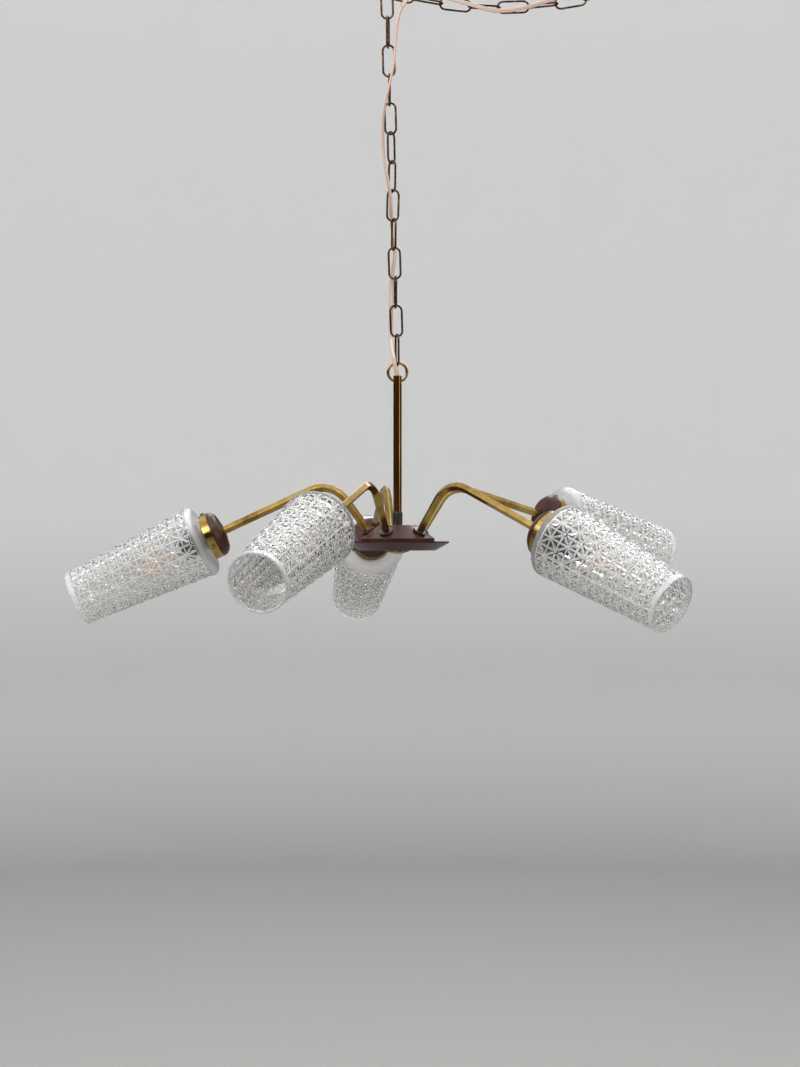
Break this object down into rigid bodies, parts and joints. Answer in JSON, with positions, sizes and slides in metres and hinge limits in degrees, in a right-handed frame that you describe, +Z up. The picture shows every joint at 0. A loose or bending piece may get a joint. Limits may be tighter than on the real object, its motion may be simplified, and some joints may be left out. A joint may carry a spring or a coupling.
{
  "type": "multi arm chandelier",
  "caption": "Hanging lamp with a low round hub, bent square arms and tapered pressed glass shades, on a chain swagged to a canopy.",
  "frame": {"origin": "where the swag hook's screw meets the ceiling", "axes": "+Z up, +X from the hook to the ceiling canopy, -Y towards the front"},
  "size_m": [0.7626, 0.7832, 0.8536],
  "materials": {
    "aged_brass": "aged and darkened",
    "brass": "lacquered, polished",
    "brown_paint": "gloss dark brown enamel",
    "black_paint": "satin",
    "white_plastic": "matte",
    "flex_sheath": "soft translucent sheath over copper",
    "screw_steel": "darkened",
    "black_plastic": "matte moulded",
    "pressed_glass": "pressed star pattern",
    "clear_glass": "clear",
    "nickel": "plated"
  },
  "bodies": {
    "root": {"swag_hook": "aged_brass", "swag_chain": "aged_brass", "ceiling_canopy": "brown_paint", "canopy_loop": "brass", "flex_swag": "flex_sheath"},
    "top_link": {"chain_top_link": "aged_brass"},
    "chain": {"chain_links": "aged_brass", "flex_drop": "flex_sheath"},
    "ring": {"suspension_ring": "brass"},
    "lamp": {"stem_tube": "brass", "stem_collar": "black_paint", "hub_cover": "brown_paint", "hub_tray": "brown_paint", "finial_nut": "brass", "terminal_block": "white_plastic"},
    "arm_body_1": {"arm_1": "brass", "arm_fixings_1": "black_paint", "cup_1": "brown_paint", "gallery_1": "brass", "gallery_screws_1": "screw_steel", "lampholder_1": "black_plastic"},
    "shade_body_1": {"shade_1": "pressed_glass"},
    "bulb_body_1": {"bulb_glass_1": "clear_glass", "bulb_cap_1": "nickel"},
    "arm_body_2": {"arm_2": "brass", "arm_fixings_2": "black_paint", "cup_2": "brown_paint", "gallery_2": "brass", "gallery_screws_2": "screw_steel", "lampholder_2": "black_plastic"},
    "shade_body_2": {"shade_2": "pressed_glass"},
    "bulb_body_2": {"bulb_glass_2": "clear_glass", "bulb_cap_2": "nickel"},
    "arm_body_3": {"arm_3": "brass", "arm_fixings_3": "black_paint", "cup_3": "brown_paint", "gallery_3": "brass", "gallery_screws_3": "screw_steel", "lampholder_3": "black_plastic"},
    "shade_body_3": {"shade_3": "pressed_glass"},
    "bulb_body_3": {"bulb_glass_3": "clear_glass", "bulb_cap_3": "nickel"},
    "arm_body_4": {"arm_4": "brass", "arm_fixings_4": "black_paint", "cup_4": "brown_paint", "gallery_4": "brass", "gallery_screws_4": "screw_steel", "lampholder_4": "black_plastic"},
    "shade_body_4": {"shade_4": "pressed_glass"},
    "bulb_body_4": {"bulb_glass_4": "clear_glass", "bulb_cap_4": "nickel"},
    "arm_body_5": {"arm_5": "brass", "arm_fixings_5": "black_paint", "cup_5": "brown_paint", "gallery_5": "brass", "gallery_screws_5": "screw_steel", "lampholder_5": "black_plastic"},
    "shade_body_5": {"shade_5": "pressed_glass"},
    "bulb_body_5": {"bulb_glass_5": "clear_glass", "bulb_cap_5": "nickel"}
  },
  "joints": [
    {"name": "chain_swing_side", "type": "hinge", "parent": "root", "child": "top_link", "pos_m": [0, 0, -0.05925], "axis": [0, 1, 0], "range_deg": [-12, 12], "deforming": ["flex_drop"]},
    {"name": "chain_swing_front", "type": "hinge", "parent": "top_link", "child": "chain", "pos_m": [0.00098, 0, -0.09294], "axis": [1, 0, 0], "range_deg": [-12, 12], "deforming": ["flex_drop"]},
    {"name": "ring_rock", "type": "hinge", "parent": "chain", "child": "ring", "pos_m": [0.01312, 0, -0.50916], "axis": [0, 1, 0], "range_deg": [-10, 10], "deforming": ["flex_drop"]},
    {"name": "lamp_tilt", "type": "hinge", "parent": "ring", "child": "lamp", "pos_m": [0.01302, 0, -0.52851], "axis": [1, 0, 0], "range_deg": [-10, 10], "deforming": ["flex_drop"]},
    {"name": "arm_swivel_1", "type": "hinge", "parent": "lamp", "child": "arm_body_1", "pos_m": [0.00531, 0.03342, -0.70927], "axis": [-0.0813, 0.5786, 0.8115], "range_deg": [-10, 10]},
    {"name": "shade_slide_1", "type": "slide", "parent": "arm_body_1", "child": "shade_body_1", "axis": [-0.1247, 0.887, -0.4446], "range_m": [0, 0.15]},
    {"name": "bulb_unscrew_1", "type": "slide", "parent": "arm_body_1", "child": "bulb_body_1", "axis": [-0.1247, 0.887, -0.4446], "range_m": [0, 0.025]},
    {"name": "arm_swivel_2", "type": "hinge", "parent": "lamp", "child": "arm_body_2", "pos_m": [-0.02115, 0.00299, -0.70927], "axis": [-0.5832, 0.0367, 0.8115], "range_deg": [-10, 10]},
    {"name": "shade_slide_2", "type": "slide", "parent": "arm_body_2", "child": "shade_body_2", "axis": [-0.9067, 0.057, -0.4179], "range_m": [0, 0.15]},
    {"name": "bulb_unscrew_2", "type": "slide", "parent": "arm_body_2", "child": "bulb_body_2", "axis": [-0.9067, 0.057, -0.4179], "range_m": [0, 0.025]},
    {"name": "arm_swivel_3", "type": "hinge", "parent": "lamp", "child": "arm_body_3", "pos_m": [-0.00038, -0.03157, -0.70927], "axis": [-0.2094, -0.5455, 0.8115], "range_deg": [-10, 10]},
    {"name": "shade_slide_3", "type": "slide", "parent": "arm_body_3", "child": "shade_body_3", "axis": [-0.3376, -0.8795, -0.3355], "range_m": [0, 0.15]},
    {"name": "bulb_unscrew_3", "type": "slide", "parent": "arm_body_3", "child": "bulb_body_3", "axis": [-0.3376, -0.8795, -0.3355], "range_m": [0, 0.025]},
    {"name": "arm_swivel_4", "type": "hinge", "parent": "lamp", "child": "arm_body_4", "pos_m": [0.03891, -0.0225, -0.70927], "axis": [0.4476, -0.3756, 0.8115], "range_deg": [-10, 10]},
    {"name": "shade_slide_4", "type": "slide", "parent": "arm_body_4", "child": "shade_body_4", "axis": [0.6965, -0.5844, -0.4163], "range_m": [0, 0.15]},
    {"name": "bulb_unscrew_4", "type": "slide", "parent": "arm_body_4", "child": "bulb_body_4", "axis": [0.6965, -0.5844, -0.4163], "range_m": [0, 0.025]},
    {"name": "arm_swivel_5", "type": "hinge", "parent": "lamp", "child": "arm_body_5", "pos_m": [0.04242, 0.01767, -0.70927], "axis": [0.4955, 0.3096, 0.8115], "range_deg": [-10, 10]},
    {"name": "shade_slide_5", "type": "slide", "parent": "arm_body_5", "child": "shade_body_5", "axis": [0.8195, 0.5121, -0.2571], "range_m": [0, 0.15]},
    {"name": "bulb_unscrew_5", "type": "slide", "parent": "arm_body_5", "child": "bulb_body_5", "axis": [0.8195, 0.5121, -0.2571], "range_m": [0, 0.025]}
  ]
}
